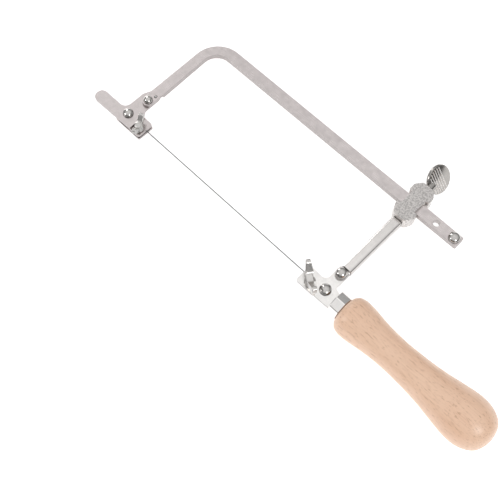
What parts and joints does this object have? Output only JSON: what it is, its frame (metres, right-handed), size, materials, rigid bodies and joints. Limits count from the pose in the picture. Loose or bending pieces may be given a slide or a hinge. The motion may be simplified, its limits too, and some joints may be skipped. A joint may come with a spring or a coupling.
{
  "type": "jewellers saw frame",
  "caption": "Adjustable jeweller's saw of the coping-saw family: nickel-plated sliding bow, wing-screw blade clamps, thumbscrew slider, thin blade and turned beech handle.",
  "frame": {"origin": "under the middle of the outer box, on the level of the handle's lowest point, with the saw lying on its side and its clamp screws up", "axes": "+X along the blade from the bench tab to the handle's end, +Y across the throat from the blade to the spine, +Z square to the plane of the saw"},
  "size_m": [0.2914, 0.1164, 0.0282],
  "materials": {
    "nickel_bar": "nickel plate on flat steel bar, satin, faint drawing lines",
    "nickel_polished": "nickel plate, polished",
    "nickel_cast": "nickel plate over a fine-grained casting",
    "plain_steel": "plain steel, turned and ground",
    "blade_steel": "hardened dark steel",
    "beech": "turned pale beech, thin satin lacquer"
  },
  "bodies": {
    "grip": {"handle": "beech", "ferrule": "nickel_polished", "handle_tang": "plain_steel", "lower_clamp_plate": "nickel_polished", "tang_rivet": "nickel_polished", "arm_rivet": "nickel_polished", "lower_arm": "nickel_bar", "arm_tongue": "nickel_bar", "slider_housing": "nickel_cast"},
    "bow": {"bow_bar": "nickel_bar", "bow_stop_rivet": "nickel_polished", "upper_clamp_plate": "nickel_bar", "upper_plate_rivet": "nickel_polished", "upper_plate_pin": "nickel_polished", "tab_rivet": "nickel_polished"},
    "upper_jaw": {"upper_jaw": "nickel_bar"},
    "upper_wing_screw": {"upper_wing_screw": "nickel_cast"},
    "lower_jaw": {"lower_jaw": "nickel_bar"},
    "lower_wing_screw": {"lower_wing_screw": "nickel_cast"},
    "pressure_shoe": {"pressure_shoe": "plain_steel"},
    "thumbscrew": {"thumbscrew": "nickel_cast"},
    "blade": {"saw_blade": "blade_steel"}
  },
  "joints": [
    {"name": "bow_slide", "type": "slide", "parent": "grip", "child": "bow", "axis": [1, 0, 0], "range_m": [-0.02, 0.1]},
    {"name": "upper_wing_turn", "type": "hinge", "parent": "bow", "child": "upper_wing_screw", "pos_m": [-0.1106, -0.04535, 0.0153], "axis": [0, 0, 1], "range_deg": [0, 720]},
    {"name": "upper_jaw_drop", "type": "slide", "parent": "bow", "child": "upper_jaw", "axis": [0, 0, -1], "range_m": [0, 0.0014]},
    {"name": "lower_wing_turn", "type": "hinge", "parent": "grip", "child": "lower_wing_screw", "pos_m": [0.0243, -0.04535, 0.0153], "axis": [0, 0, 1], "range_deg": [0, 720]},
    {"name": "lower_jaw_drop", "type": "slide", "parent": "grip", "child": "lower_jaw", "axis": [0, 0, -1], "range_m": [0, 0.0014]},
    {"name": "shoe_slide", "type": "slide", "parent": "grip", "child": "pressure_shoe", "axis": [0, 1, 0], "range_m": [0, 0.0016]},
    {"name": "thumbscrew_turn", "type": "hinge", "parent": "pressure_shoe", "child": "thumbscrew", "pos_m": [0.034, 0.03985, 0.0173], "axis": [0, 1, 0], "range_deg": [0, 720]},
    {"name": "blade_release", "type": "slide", "parent": "grip", "child": "blade", "axis": [0, 1, 0], "range_m": [0, 0.014]}
  ],
  "couplings": [
    {"joint": "upper_wing_turn", "follows": "upper_jaw_drop", "rad_per_m": 8976},
    {"joint": "lower_wing_turn", "follows": "lower_jaw_drop", "rad_per_m": 8976},
    {"joint": "thumbscrew_turn", "follows": "shoe_slide", "rad_per_m": 7854}
  ]
}
